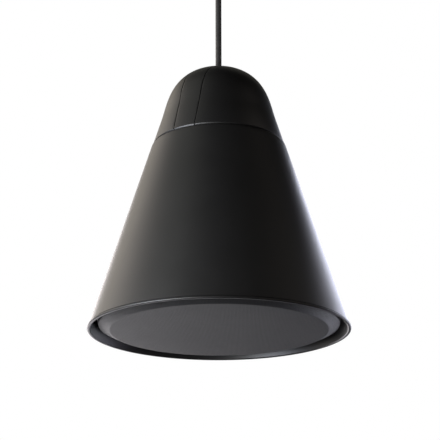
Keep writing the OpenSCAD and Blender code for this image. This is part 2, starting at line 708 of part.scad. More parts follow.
// Moving parts of the woofer, and the two soft rings that centre them
paper_t = 0.8;
neck_h = 4;
skin_t = 0.7;
cone_front_z = flange_z - 0.2;
cone_neck_z = cone_front_z + cone_h;
former_t = 0.4;
neck_r = coil_d / 2 + close;
module woofer_cone() {
    r = cone_d / 2;
    color("#262628") hang() rotate_extrude() polygon(concat(
        [[r - 2.5, cone_front_z], [r, cone_front_z], [r, cone_front_z + paper_t],
            [r - 2, cone_front_z + paper_t]],
        corner([r - 3, cone_front_z + paper_t + 0.4], [neck_r + 13, cone_neck_z - 8],
            [neck_r + paper_t, cone_neck_z], 8),
        [[neck_r + paper_t, cone_neck_z + neck_h], [neck_r, cone_neck_z + neck_h],
            [neck_r, cone_neck_z - 0.4]],
        reverse(corner([r - 4, cone_front_z + 0.2], [neck_r + 12.2, cone_neck_z - 8.8],
            [neck_r + 0.2, cone_neck_z - 0.8], 8))));
}
roll_in = cone_d / 2 + 0.2;
roll_out = cone_d / 2 + 8.6;
roll_z = cone_front_z - 0.1;
module woofer_surround() {
    mid = (roll_in + roll_out) / 2;
    big = (roll_out - roll_in) / 2;
    color("#161616") hang() rotate_extrude() polygon(concat(
        [[roll_in - 2.5, roll_z - skin_t], [roll_in, roll_z - skin_t]],
        arc([mid, roll_z - skin_t], big, 180, 360, 12),
        [[roll_out + 4, roll_z - skin_t], [roll_out + 4, roll_z - 0.1], [roll_out - skin_t, roll_z - 0.1]],
        arc([mid, roll_z - skin_t], big - skin_t, 360, 180, 12),
        [[roll_in + skin_t, roll_z - 0.1], [roll_in - 2.5, roll_z - 0.1]]));
}
spider_in = coil_d / 2 + 0.1;
spider_out = basket_top_r - 2.4;
spider_z = seat_z - 1.2;
module woofer_spider() {
    waves = 4;
    steps = waves * 6;
    span = spider_out - 3.5 - spider_in - 1;
    function line(z) = [for (i = [0:steps]) let (t = i / steps)
        [spider_in + 1 + span * t, z - 1.1 * sin(t * waves * 360) * sin(t * 180)]];
    low = concat([[spider_in, spider_z]], line(spider_z), [[spider_out, spider_z]]);
    top = concat([[spider_in, spider_z + 0.6]], line(spider_z + 0.6), [[spider_out, spider_z + 0.6]]);
    color("goldenrod") hang() rotate_extrude() polygon(concat(low, reverse(top)));
}
gap_z = basket_back_z + basket_sheet;
pole_clear = 0.6;
coil_wind = 0.5;
module voice_coil() {
    r = coil_d / 2;
    color("darkorange") hang() union() {
        washer(r, r - former_t, cone_neck_z - 2, gap_z + plate5 + travel - cone_neck_z + 2);
        washer(r + coil_wind, r - former_t / 2, gap_z - travel, plate5 + 2 * travel);
    }
}

// Magnet system
pole_r = coil_d / 2 - former_t - pole_clear;
gap_r = coil_d / 2 + coil_wind + pole_clear;
post_r = 4;
front_plate_r = ferrite_d / 2 - 1;
ferrite_z = gap_z + plate5;
back_z = ferrite_z + ferrite_t;
module front_plate() {
    color(steel) hang() washer(front_plate_r, gap_r, gap_z, plate5);
}
module ferrite_magnet() {
    color("#333333") hang() washer(ferrite_d / 2, gap_r + 6, ferrite_z, ferrite_t);
}
module back_plate() {
    color(steel) hang() difference() {
        union() {
            translate([0, 0, back_z]) cylinder(r = front_plate_r, h = plate5);
            translate([0, 0, gap_z]) cylinder(r = pole_r, h = back_z - gap_z + eps);
        }
        translate([0, 0, gap_z - 1]) cylinder(r = post_r + close, h = far);
    }
}

// Tweeter on a post through the pole
tweeter_z = baffle_z - 0.5;
can_r = 13;
can_h = 11;
can_z = tweeter_z + 3.5;
tweeter_dome_r = 9.6;
post_nut_h = 4;
post_out = 6;
post_bore_r = 2;
module tweeter_post() {
    color(steel) hang() difference() {
        union() {
            translate([0, 0, can_z + can_h])
                cylinder(r = post_r, h = back_z + plate5 + post_out - can_z - can_h);
            translate([0, 0, can_z + can_h]) cylinder(r = post_r + 3, h = 2);
            translate([0, 0, back_z + plate5]) cylinder(r = post_r + 4, h = post_nut_h, $fn = 6);
        }
        translate([0, 0, can_z + can_h + 4]) cylinder(r = post_bore_r, h = far);
    }
}
module tweeter_can() {
    color("dimgray") hang() translate([0, 0, can_z]) cylinder(r = can_r, h = can_h);
}
module tweeter_face() {
    r = tweeter_d / 2;
    color(black) hang() rotate_extrude() polygon(concat(
        [[r - 1, tweeter_z], [r, tweeter_z + 1], [r, can_z], [tweeter_dome_r + 0.6, can_z]],
        corner([tweeter_dome_r + 0.6, tweeter_z + 2.4], [r - 4, tweeter_z + 1.6], [r - 2, tweeter_z],
            fillet_steps)));
}
module tweeter_dome() {
    rise = 3.2;
    ball = (tweeter_dome_r * tweeter_dome_r + rise * rise) / 2 / rise;
    color("gray") hang() translate([0, 0, can_z]) intersection() {
        translate([0, 0, ball - rise]) sphere(r = ball);
        translate([-far / 2, -far / 2, -far]) cube([far, far, far]);
    }
}

// Lead from the terminal block through the deck to the woofer's basket
driver_route = [[-33.6, -13.5, 226.9], [-27, -14, 228], [-18, -17, 230], [-9, -22, 230.5],
    [-2.5, -27.5, 227], [0, -30, 220], [0, -30, 211], [0, -31, 199], [0, -35, 180], [0, -42, 155],
    [0, -50, 128], [0, -57, 100], [0, -61, 78], [0, -61, 60], [0, -59, 49], [0, -57, 43], [0, -55.6, 39.6]];
module driver_lead() {
    color("crimson") hang() swept(driver_route, 3.4, [1, 1, 0], 8);
}

// Grille: a dished perforated sheet with a sloping edge and a skirt, and its cloth
module grille() {
    flat = grille_flat_d / 2;
    r = grille_d / 2;
    edge = grille_z + grille_slope_h;
    bend = 1.2;
    lean = atan2(grille_slope_h, r - flat);
    t = grille_t;
    outer = concat([[0, grille_z], [flat - bend, grille_z]],
        corner([flat - bend, grille_z], [flat, grille_z],
            [flat + bend * cos(lean), grille_z + bend * sin(lean)], 3),
        corner([r - bend * cos(lean), edge - bend * sin(lean)], [r, edge], [r, edge + bend], 3),
        [[r, edge + grille_skirt_h]]);
    inner = concat([[r - t, edge + grille_skirt_h], [r - t, edge + bend],
        [r - t - 0.6, edge + t * cos(lean) - 0.1]], [[flat - 0.3, grille_z + t], [0, grille_z + t]]);
    color("#38383a") hang() rotate_extrude($fn = 180) polygon(concat(outer, inner));
}
module grille_cloth() {
    color("#0c0c0c") hang() translate([0, 0, grille_z + grille_t])
        cylinder(r = grille_flat_d / 2 - 1.5, h = 0.5);
}

ceiling_plate();
ceiling_stem();
ceiling_canopy();
canopy_nut();
suspension_cord();
top_gland();
gland_nut();
cord_ferrule();
feed_lead();
hanger_bracket();
bracket_screws();
cap_strip();
cap_cover_left();
cap_cover_right();
terminal_block();
terminal_screws();
tap_switch();
tap_shaft();
tap_knob();
housing();
transformer_core();
transformer_winding();
transformer_strap();
crossover_board();
board_standoffs();
inductors();
capacitors();
resistors();
baffle();
baffle_gasket();
baffle_screws();
port_left();
port_right();
woofer_basket();
woofer_gasket();
woofer_screws();
woofer_cone();
woofer_surround();
woofer_spider();
voice_coil();
front_plate();
ferrite_magnet();
back_plate();
tweeter_post();
tweeter_can();
tweeter_face();
tweeter_dome();
driver_lead();
grille();
grille_cloth();
grille_magnets();
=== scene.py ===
from math import atan2, cos, hypot, pi, radians, sin

import bpy
from mathutils import Matrix, Vector


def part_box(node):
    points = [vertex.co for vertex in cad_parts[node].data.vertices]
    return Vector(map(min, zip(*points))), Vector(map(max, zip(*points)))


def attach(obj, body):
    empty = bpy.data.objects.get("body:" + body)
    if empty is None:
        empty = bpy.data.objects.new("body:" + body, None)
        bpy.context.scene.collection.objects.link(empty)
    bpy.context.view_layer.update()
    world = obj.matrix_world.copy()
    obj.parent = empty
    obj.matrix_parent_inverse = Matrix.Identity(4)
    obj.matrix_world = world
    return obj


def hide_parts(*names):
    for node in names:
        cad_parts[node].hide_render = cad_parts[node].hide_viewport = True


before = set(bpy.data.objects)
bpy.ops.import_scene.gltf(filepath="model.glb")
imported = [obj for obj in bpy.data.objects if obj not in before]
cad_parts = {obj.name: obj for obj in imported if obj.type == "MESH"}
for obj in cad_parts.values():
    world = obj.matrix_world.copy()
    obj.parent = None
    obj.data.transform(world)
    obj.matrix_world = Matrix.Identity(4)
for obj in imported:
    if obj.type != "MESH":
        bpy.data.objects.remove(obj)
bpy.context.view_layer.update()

# The camera stands well below the speaker's rim and looks up at it. The strip over the cap runs
# front to back, and the camera stands round to its right.
rim_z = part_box("housing")[0][2]
camera_turn = radians(31)
to_camera = Vector((sin(camera_turn), -cos(camera_turn), 0))
to_right = Vector((cos(camera_turn), sin(camera_turn), 0))
camera_data = bpy.data.cameras.new("Camera")
camera_data.lens = 108.25
camera_data.sensor_width = 36
camera_data.clip_start, camera_data.clip_end = 0.1, 40
camera = bpy.data.objects.new("Camera", camera_data)
bpy.context.scene.collection.objects.link(camera)
bpy.context.scene.camera = camera
camera_far, camera_aside, camera_under = 1.4754, 0.0013, 0.3566
camera.location = to_camera * camera_far + to_right * camera_aside + Vector((0, 0, rim_z - camera_under))
camera_lift, camera_roll = radians(90 + 18.43), -0.0025
looking = Matrix.Rotation(camera_turn, 4, "Z") @ Matrix.Rotation(camera_lift, 4, "X")
camera.rotation_euler = (looking @ Matrix.Rotation(camera_roll, 4, "Z")).to_euler()

# The suspension cord is a round jacketed cable of 7.4 mm with a fibre core. It runs straight up
# from the crimped ferrule under the cap, through the crown gland, to the stem in the ceiling.
cord_width = 0.0074
cord_low, cord_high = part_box("suspension_cord")[0][2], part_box("suspension_cord")[1][2]
cord_steps = 16
cord_points = [(0, 0, cord_low + (cord_high - cord_low) * i / cord_steps) for i in range(cord_steps + 1)]


class Wire:
    """An output of a shader node, on which Python's arithmetic adds Math nodes."""

    def __init__(self, finish, socket):
        self.finish, self.socket = finish, socket

    def sum(self, kind, a, b):
        return self.finish.node("Math", {"operation": kind}, {0: a, 1: b})

    def __add__(self, other):
        return self.sum("ADD", self, other)

    def __radd__(self, other):
        return self.sum("ADD", other, self)

    def __sub__(self, other):
        return self.sum("SUBTRACT", self, other)

    def __rsub__(self, other):
        return self.sum("SUBTRACT", other, self)

    def __mul__(self, other):
        return self.sum("MULTIPLY", self, other)

    def __rmul__(self, other):
        return self.sum("MULTIPLY", other, self)

    def __truediv__(self, other):
        return self.sum("DIVIDE", self, other)

    def __pow__(self, other):
        return self.sum("POWER", self, other)

    def __mod__(self, other):
        return self.sum("FLOORED_MODULO", self, other)


class Finish:
    """A material: its shader's fixed values, and the textures that feed it."""

    def __init__(self, name, colour, roughness, **fixed):
        self.material = bpy.data.materials.new(name)
        self.material.use_nodes = True
        self.tree = self.material.node_tree
        self.shader = self.tree.nodes["Principled BSDF"]
        self.shader.inputs["Base Color"].default_value = (*colour, 1)
        self.shader.inputs["Roughness"].default_value = roughness
        for socket, value in fixed.items():
            self.shader.inputs[socket.replace("_", " ")].default_value = value

    def node(self, kind, settings=None, sockets=None, out=0):
        made = self.tree.nodes.new("ShaderNode" + kind)
        for key, value in (settings or {}).items():
            setattr(made, key, value)
        for key, value in (sockets or {}).items():
            if isinstance(value, Wire):
                self.tree.links.new(value.socket, made.inputs[key])
            else:
                made.inputs[key].default_value = value
        return Wire(self, made.outputs[out])

    def feed(self, **values):
        for key, value in values.items():
            self.tree.links.new(value.socket, self.shader.inputs[key.replace("_", " ")])

    def place(self):
        return self.node("TexCoord", out="Object")

    def noise(self, size, detail=2.0, stretch=(1, 1, 1)):
        """Cloudy texture whose lumps measure about size, in metres."""
        at = self.node("Mapping", {"vector_type": "POINT"}, {"Vector": self.place(), "Scale": stretch})
        return self.node("TexNoise", {}, {"Vector": at, "Scale": 1 / size, "Detail": detail})

    def bump(self, height, depth, strength):
        slope = self.node("Bump", {}, {"Strength": strength, "Distance": depth, "Height": height})
        self.feed(Normal=slope)

    def tint(self, mask, low, high):
        """Two colours of the surface, mixed by mask."""
        mixed = self.node("Mix", {"data_type": "RGBA"}, {"Factor": mask, 6: (*low, 1), 7: (*high, 1)}, out=2)
        self.feed(Base_Color=mixed)


def finished(piece, finish):
    piece.data.materials.clear()
    piece.data.materials.append(finish.material)


cord_line = bpy.data.curves.new("suspension_cord_jacket", "CURVE")
cord_line.dimensions = "3D"
cord_line.bevel_depth = cord_width / 2
cord_line.bevel_resolution = 8
cord_line.use_fill_caps = True
spline = cord_line.splines.new("POLY")
spline.points.add(len(cord_points) - 1)
for point, place in zip(spline.points, cord_points):
    point.co = (*place, 1)
jacket = bpy.data.objects.new("suspension_cord_jacket", cord_line)
bpy.context.scene.collection.objects.link(jacket)
cord_rubber = Finish("cord_rubber", (0.02, 0.019, 0.018), 0.5)
cord_lay = cord_rubber.noise(0.0009, 3, stretch=(1, 1, 0.12))
cord_rubber.feed(Roughness=0.42 + cord_rubber.noise(0.006, 3) * 0.2)
cord_rubber.tint(cord_rubber.noise(0.012, 4), (0.023, 0.0215, 0.02), (0.037, 0.035, 0.033))
cord_rubber.bump(cord_lay, 0.00005, 0.6)
finished(jacket, cord_rubber)
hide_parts("suspension_cord")
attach(jacket, "hung_unit")

# The ceiling fitting is a pressed steel plate with a hollow stem riveted to it, both zinc plated.
# Two screws hold it up, and the cord's wires come out of the stem beside the hole for the line.
zinc = Finish("zinc_plate", (0.52, 0.53, 0.55), 0.34, Metallic=1.0)
zinc_cloud = zinc.noise(0.007, 5)
zinc.tint(zinc_cloud, (0.4, 0.41, 0.44), (0.6, 0.6, 0.6))
zinc.feed(Roughness=0.26 + zinc_cloud * 0.2)
zinc.bump(zinc.noise(0.0005, 2), 0.00002, 0.5)
for node in ("ceiling_plate", "ceiling_stem"):
    finished(bpy.data.objects[node], zinc)

# The canopy is a deep drawn steel cup, powder coated black. It slides down the cord for wiring,
# and the grip nut on the stem pushes it back up to the ceiling.
def turned(name, section, steps=192, base=rim_z):
    """A piece whose section, as (radius, height) in millimetres above its base, is spun about the cord."""
    section = [(r / 1000, base + z / 1000) for r, z in section]
    bpy.ops.object.select_all(action="DESELECT")
    bpy.ops.mesh.primitive_plane_add(size=0.0002, location=(section[0][0], 0, section[0][1]))
    piece = bpy.context.object
    piece.name = piece.data.name = name
    bpy.ops.object.transform_apply(location=True, rotation=True, scale=True)
    bpy.ops.object.mode_set(mode="EDIT")
    bpy.ops.mesh.select_mode(type="VERT")
    bpy.ops.mesh.merge(type="CENTER")
    for (r0, z0), (r1, z1) in zip(section, section[1:] + section[:1]):
        bpy.ops.mesh.extrude_vertices_move(TRANSFORM_OT_translate={"value": (r1 - r0, 0, z1 - z0)})
    bpy.ops.mesh.select_all(action="SELECT")
    bpy.ops.mesh.remove_doubles(threshold=0.000001)
    bpy.ops.mesh.spin(steps=steps, angle=2 * pi, center=(0, 0, 0), axis=(0, 0, 1))
    bpy.ops.mesh.select_all(action="SELECT")
    bpy.ops.mesh.remove_doubles(threshold=0.000002)
    bpy.ops.mesh.dissolve_degenerate(threshold=0.000001)
    bpy.ops.mesh.select_all(action="SELECT")
    bpy.ops.mesh.delete_loose()
    bpy.ops.mesh.select_all(action="SELECT")
    bpy.ops.mesh.normals_make_consistent(inside=False)
    bpy.ops.object.mode_set(mode="OBJECT")
    return piece


def in_place(piece, node, body):
    """The piece stands for that solid, which it hides, and moves with that body."""
    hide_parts(node)
    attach(piece, body)


def eased(piece, width, angle=40, smooth=28):
    """Round the piece's sharp edges by width, in millimetres, and shade what is left smooth."""
    bpy.ops.object.select_all(action="DESELECT")
    piece.select_set(True)
    bpy.context.view_layer.objects.active = piece
    if width:
        rounding = piece.modifiers.new("edges", "BEVEL")
        rounding.width, rounding.segments, rounding.limit_method = width / 1000, 2, "ANGLE"
        rounding.angle_limit = radians(angle)
        bpy.ops.object.modifier_apply(modifier=rounding.name)
    bpy.ops.object.shade_smooth_by_angle(angle=radians(smooth))


def quarter(centre, radius, start, end, steps=8):
    """Part of a circle in a section, from one angle to another."""
    turns = [radians(start + (end - start) * i / steps) for i in range(steps + 1)]
    return [(centre[0] + radius * cos(t), centre[1] + radius * sin(t)) for t in turns]


canopy_r, canopy_low, cup_sheet, cup_round, stem_r = 50.0, -25.0, 1.5, 9.0, 6.8
cup_centre, cup_lip_z, cup_flat_r = (canopy_r - cup_round, canopy_low + cup_round), -1.1, 25
cup_section = [(stem_r, canopy_low), (cup_flat_r, canopy_low + 0.02)]
cup_section += quarter(cup_centre, cup_round, -90, 0, 10)
cup_section += quarter((canopy_r - cup_sheet / 2, cup_lip_z), cup_sheet / 2, 0, 180, 4)
cup_section += quarter(cup_centre, cup_round - cup_sheet, 0, -90, 10)
cup_section += [(cup_flat_r, canopy_low + cup_sheet), (stem_r, canopy_low + cup_sheet)]
canopy = turned("canopy_cup", cup_section, 160, base=0.0)
eased(canopy, 0)
coat_black = Finish("powder_coat_black", (0.012, 0.012, 0.0125), 0.5)
peel = coat_black.noise(0.0009, 3)
coat_black.tint(coat_black.noise(0.03, 4), (0.0105, 0.0105, 0.011), (0.015, 0.015, 0.0155))
coat_black.feed(Roughness=0.42 + peel * 0.14)
coat_black.bump(peel, 0.00004, 0.6)
finished(canopy, coat_black)
in_place(canopy, "ceiling_canopy", "hung_unit")

# The grip nut is turned from black nylon, with finger grooves round its upper half and a cone
# below that closes on the cord.
nut_r, nut_hole_r, tip_r, tip_low, tip_ease = 9.5, 3.75, 5.2, -35, 0.5
nut_top, thread_r, thread_low = -25.05, 6.55, -28
nut_section = [(nut_hole_r, tip_low), (tip_r, tip_low)]
nut_section += quarter((tip_r, tip_low + tip_ease), tip_ease, -90, 0, 3)
nut_section += [(5.9, -32.6), (7.2, -30.6), (8.7, -29.6), (nut_r, -28.7), (nut_r, -28.3), (nut_r, -25.5)]
nut_section += [(9.2, nut_top), (thread_r, nut_top), (thread_r, thread_low), (nut_hole_r, thread_low)]


def picked(piece, wanted):
    """Select the piece's faces that pass a test, and open it in edit mode."""
    bpy.ops.object.select_all(action="DESELECT")
    piece.select_set(True)
    bpy.context.view_layer.objects.active = piece
    bpy.ops.object.mode_set(mode="EDIT")
    bpy.ops.mesh.select_mode(type="FACE")
    bpy.ops.mesh.select_all(action="DESELECT")
    bpy.ops.object.mode_set(mode="OBJECT")
    for face in piece.data.polygons:
        face.select = wanted(face)
    bpy.ops.object.mode_set(mode="EDIT")


def grooved(piece, low, high, radius, grooves, depth):
    """Press finger grooves into the band between two heights, one to every second strip of faces."""
    def in_groove(face):
        at = face.center
        turn = atan2(at.y, at.x) / (2 * pi) * grooves * 2
        return low < at.z < high and hypot(at.x, at.y) > radius and int(turn // 1) % 2 == 0
    picked(piece, in_groove)
    bpy.ops.mesh.inset(thickness=0.00016, depth=-depth)
    bpy.ops.object.mode_set(mode="OBJECT")


grip_nut = turned("canopy_grip_nut", nut_section, 120, base=0.0)
grooved(grip_nut, low=-0.0284, high=-0.0252, radius=0.0093, grooves=30, depth=0.00045)
eased(grip_nut, 0)
nylon_black = Finish("nylon_black", (0.012, 0.0118, 0.0115), 0.42)
nylon_cloud = nylon_black.noise(0.004, 4)
nylon_black.tint(nylon_cloud, (0.010, 0.0098, 0.0096), (0.016, 0.0155, 0.015))
nylon_black.feed(Roughness=0.36 + nylon_cloud * 0.12)
nylon_black.bump(nylon_black.noise(0.0006, 2), 0.00003, 0.5)
finished(grip_nut, nylon_black)
in_place(grip_nut, "canopy_nut", "hung_unit")

# The cone, the bead round its rim, the ledge for the baffle and the deck under the cap are one
# moulding in black ABS with a fine spark-eroded grain. A boss stands on the ledge at each screw of
# the baffle, here without its pilot hole, and a rib runs up the wall from it.
rim_r, cone_slope = 150, 70 / 225
cone_run = hypot(1, cone_slope)
wall_across, bead_r, groove, ledge_low, ledge_high, ledge_wide = 3 * cone_run, 1.3, 0.8, 18.5, 22, 14.5
deck_low, deck_high, cone_top, collar_top, shoulder = 218.4, 221.4, 224.4, 231.4, 1.6
cap_gap, cap_wall, collar_fit, collar_wall = 0.7, 2.4, 0.3, 2
collar_inset = cap_gap + cap_wall * cone_run + collar_fit


def cone_radius(height, inset=0.0):
    return rim_r - cone_slope * height - inset


def cut_off(piece, x, side):
    """Saw the piece at a plane across X and cap the cut. side is +1 to keep what lies beyond x."""
    bpy.ops.object.select_all(action="DESELECT")
    piece.select_set(True)
    bpy.context.view_layer.objects.active = piece
    bpy.ops.object.mode_set(mode="EDIT")
    bpy.ops.mesh.select_all(action="SELECT")
    bpy.ops.mesh.bisect(plane_co=(x / 1000, 0, 0), plane_no=(side, 0, 0), use_fill=True, clear_inner=True)
    bpy.ops.object.mode_set(mode="OBJECT")


def joined(first, *others):
    bpy.ops.object.select_all(action="DESELECT")
    for other in others:
        other.select_set(True)
    first.select_set(True)
    bpy.context.view_layer.objects.active = first
    bpy.ops.object.join()


def round_bar(x, y, low, high, radius, sides=48):
    """A plain cylinder between two heights above the rim, in millimetres."""
    bpy.ops.object.select_all(action="DESELECT")
    bpy.ops.mesh.primitive_cylinder_add(vertices=sides, radius=radius / 1000, depth=(high - low) / 1000,
                                        location=(x / 1000, y / 1000, rim_z + (low + high) / 2000))
    bpy.ops.object.transform_apply(location=True, rotation=True, scale=True)
    return bpy.context.object


def drilled(piece, x, y, low, high, radius):
    drill = round_bar(x, y, low, high, radius)
    cut = piece.modifiers.new("hole", "BOOLEAN")
    cut.operation, cut.solver, cut.object = "DIFFERENCE", "EXACT", drill
    bpy.context.view_layer.objects.active = piece
    bpy.ops.object.modifier_apply(modifier=cut.name)
    bpy.data.objects.remove(drill)


rim_ease, bead_proud, groove_low, groove_high, groove_end = 0.9, 0.7, 2.6, 3.4, 3.7
wall_rings = range(40, 221, 36)
shell = [(cone_radius(0, wall_across - rim_ease), 0)]
shell += quarter((rim_r + bead_proud - bead_r, bead_r), bead_r, -90, 60, 8)
shell += [(cone_radius(height, groove), height) for height in (groove_low, groove_high)]
shell += [(cone_radius(height), height) for height in (groove_end, *wall_rings)]
shoulder_steps = 4
for step in range(shoulder_steps + 1):
    t = step / shoulder_steps
    height = cone_top - shoulder * (1 - t) ** 2
    shell.append((cone_radius(height, shoulder * t * t), height))
shell += [(cone_radius(height, collar_inset), height) for height in (cone_top, collar_top)]
collar_in = cone_radius(collar_top, collar_inset + collar_wall)
shell += [(collar_in, collar_top), (collar_in, deck_high), (0, deck_high), (0, deck_low)]
ledge_r = cone_radius(ledge_low, wall_across + ledge_wide)
shell += [(cone_radius(deck_low, wall_across), deck_low), (cone_radius(ledge_high, wall_across), ledge_high),
          (ledge_r, ledge_high), (ledge_r, ledge_low), (cone_radius(ledge_low, wall_across), ledge_low),
          (cone_radius(rim_ease, wall_across), rim_ease)]
housing = turned("housing_moulding", shell)
shaft_x, lead_y, bracket_screw, wide_hole, screw_hole, drill_over = 42, -30, 58, 5, 2, 2
for x, y, radius in ((shaft_x, 0, wide_hole), (0, lead_y, wide_hole),
                     (0, -bracket_screw, screw_hole), (0, bracket_screw, screw_hole)):
    drilled(housing, x, y, deck_low - drill_over, deck_high + drill_over, radius)
boss_ring, boss_low, boss_high, boss_r, boss_sides = ledge_r + 6.2, 19, 38.5, 5, 32
bosses = []
for turn in range(0, 360, 60):
    x, y = boss_ring * cos(radians(turn)), boss_ring * sin(radians(turn))
    bosses.append(round_bar(x, y, boss_low, boss_high, boss_r, boss_sides))
rib_low, rib_high, rib_deep, rib_root, rib_half = 38, deck_low + 0.5, 6, 1, 1
rib_corners = ((rib_low, rib_deep), (rib_low, -rib_root), (rib_high, -rib_root), (rib_high, rib_deep))
rib_section = [(cone_radius(height, wall_across + inset), height) for height, inset in rib_corners]
ribs = turned("wall_ribs", rib_section)
cut_off(ribs, -rib_half, 1)
cut_off(ribs, rib_half, -1)
rib_pairs, pairs, pair_turn, first_turn = [ribs], 3, radians(60), radians(30)
while len(rib_pairs) < pairs:
    bpy.ops.object.select_all(action="DESELECT")
    rib_pairs[-1].select_set(True)
    bpy.ops.object.duplicate()
    bpy.ops.transform.rotate(value=pair_turn, orient_axis="Z", center_override=(0, 0, 0))
    bpy.ops.object.transform_apply(location=True, rotation=True, scale=True)
    rib_pairs.append(bpy.context.selected_objects[0])
for pair in rib_pairs:
    bpy.ops.object.select_all(action="DESELECT")
    pair.select_set(True)
    bpy.context.view_layer.objects.active = pair
    bpy.ops.transform.rotate(value=first_turn, orient_axis="Z", center_override=(0, 0, 0))
    bpy.ops.object.transform_apply(location=True, rotation=True, scale=True)
joined(housing, *bosses, *rib_pairs)
eased(housing, 0)
abs_black = Finish("moulded_abs_black", (0.0075, 0.0072, 0.0072), 0.42)
abs_grain = abs_black.noise(0.0011, 2)
abs_black.feed(Roughness=0.38 + abs_black.noise(0.03, 4) * 0.06 + abs_grain * 0.04)
abs_black.tint(abs_black.noise(0.06, 5), (0.0062, 0.006, 0.006), (0.0092, 0.0088, 0.0086))
abs_black.bump(abs_grain, 0.00003, 0.6)
finished(housing, abs_black)
in_place(housing, "housing", "hung_unit")

# The cord passes a moulded gland in the crown, and a crimped steel ferrule under the gland's nut
# takes the load. A folded steel bracket, screwed to the deck, carries them.
finished(bpy.data.objects["top_gland"], nylon_black)
bracket_steel = Finish("folded_steel", (0.5, 0.51, 0.53), 0.36, Metallic=1.0)
rolled = bracket_steel.noise(0.0012, 3, stretch=(1, 0.08, 0.08))
bracket_steel.tint(bracket_steel.noise(0.012, 5), (0.4, 0.41, 0.44), (0.58, 0.58, 0.6))
bracket_steel.feed(Roughness=0.3 + rolled * 0.16)
bracket_steel.bump(rolled, 0.00002, 0.5)
for node in ("hanger_bracket", "gland_nut", "cord_ferrule", "bracket_screws"):
    finished(bpy.data.objects[node], bracket_steel)

# The tail of the cord runs to a green four way terminal block on the deck. Beside it a rotary
# switch with a moulded knob picks the power tap of the line transformer.
block_green = Finish("terminal_green", (0.02, 0.16, 0.06), 0.45)
block_green.tint(block_green.noise(0.005, 5), (0.016, 0.13, 0.048), (0.026, 0.19, 0.072))
block_green.feed(Roughness=0.36 + block_green.noise(0.002, 3) * 0.2)
block_green.bump(block_green.noise(0.0004, 2), 0.00002, 0.5)
finished(bpy.data.objects["terminal_block"], block_green)
switch_grey = Finish("switch_grey", (0.1, 0.1, 0.105), 0.5)
switch_grey.tint(switch_grey.noise(0.004, 5), (0.08, 0.08, 0.085), (0.125, 0.125, 0.13))
switch_grey.feed(Roughness=0.42 + switch_grey.noise(0.0015, 3) * 0.16)
switch_grey.bump(switch_grey.noise(0.0004, 2), 0.00002, 0.5)
finished(bpy.data.objects["tap_switch"], switch_grey)
finished(bpy.data.objects["tap_knob"], nylon_black)
lead_jacket = Finish("lead_jacket_black", (0.014, 0.0135, 0.013), 0.55)
lead_jacket.tint(lead_jacket.noise(0.006, 4), (0.011, 0.0105, 0.01), (0.02, 0.0195, 0.019))
lead_jacket.feed(Roughness=0.48 + lead_jacket.noise(0.002, 3) * 0.16)
lead_jacket.bump(lead_jacket.noise(0.0007, 3), 0.00005, 0.5)
finished(bpy.data.objects["feed_lead"], lead_jacket)
for node in ("terminal_screws", "tap_shaft"):
    finished(bpy.data.objects[node], zinc)

# The line transformer is a stack of varnished steel plates round a winding of enamelled copper
# wire. A plated strap over the stack is screwed to the underside of the deck.


def ridges(finish, axis, pitch):
    """Straight ridges across one axis, from 0 in a groove to 1 on a crest."""
    along = finish.node("SeparateXYZ", {}, {0: finish.place()}, out=axis)
    return finish.node("Math", {"operation": "PINGPONG"}, {0: along, 1: pitch / 2}) / (pitch / 2)


laminated = Finish("laminated_steel", (0.13, 0.125, 0.12), 0.5, Metallic=0.7)
plates = ridges(laminated, "X", 0.0005)
varnish = laminated.noise(0.006, 5)
laminated.tint(varnish * 0.6 + plates * 0.4, (0.05, 0.042, 0.036), (0.24, 0.23, 0.22))
laminated.feed(Roughness=0.42 + varnish * 0.3)
laminated.bump(plates + varnish * 0.3, 0.00008, 0.8)
finished(bpy.data.objects["transformer_core"], laminated)


def wound(name, axis, pitch):
    """Enamelled copper wire laid in turns along one axis."""
    wire = Finish(name, (0.5, 0.2, 0.07), 0.3, Metallic=0.85)
    turns = ridges(wire, axis, pitch)
    wire.tint(turns * 0.7 + wire.noise(0.004, 4) * 0.3, (0.16, 0.05, 0.018), (0.62, 0.27, 0.11))
    wire.feed(Roughness=0.24 + wire.noise(0.003, 3) * 0.2)
    wire.bump(turns ** 0.5, 0.0002, 0.9)
    return wire


copper_layers = wound("transformer_copper", "Z", 0.0007)
finished(bpy.data.objects["transformer_winding"], copper_layers)
finished(bpy.data.objects["transformer_strap"], bracket_steel)

# The crossover is a green board on four nylon standoffs, with two air cored inductors, three film
# capacitors and two ceramic resistors soldered to its lower face.
board_green = Finish("board_green", (0.012, 0.1, 0.035), 0.35, Coat_Weight=0.4)
tracks = board_green.node("TexBrick", {"offset": 0.37, "squash": 0.6, "squash_frequency": 3},
                          {"Vector": board_green.place(), "Scale": 120.0, "Mortar Size": 0.05,
                           "Mortar Smooth": 0.2, "Brick Width": 1.3, "Row Height": 0.42}, out="Fac")
board_green.tint(tracks, (0.008, 0.07, 0.026), (0.03, 0.17, 0.055))
board_green.feed(Roughness=0.3 + board_green.noise(0.01, 4) * 0.14)
board_green.bump(tracks, 0.00004, 0.6)
finished(bpy.data.objects["crossover_board"], board_green)
nylon_white = Finish("nylon_natural", (0.72, 0.7, 0.64), 0.48)
nylon_white.tint(nylon_white.noise(0.004, 4), (0.64, 0.62, 0.56), (0.78, 0.76, 0.71))
nylon_white.feed(Roughness=0.42 + nylon_white.noise(0.002, 3) * 0.14)
nylon_white.bump(nylon_white.noise(0.0005, 2), 0.00002, 0.4)
finished(bpy.data.objects["board_standoffs"], nylon_white)
finished(bpy.data.objects["inductors"], wound("inductor_copper", "Z", 0.0011))
film_brown = Finish("film_brown", (0.17, 0.06, 0.028), 0.25, Coat_Weight=0.5)
film_brown.tint(film_brown.noise(0.006, 5), (0.12, 0.04, 0.02), (0.22, 0.085, 0.04))
film_brown.feed(Roughness=0.2 + film_brown.noise(0.003, 3) * 0.16)
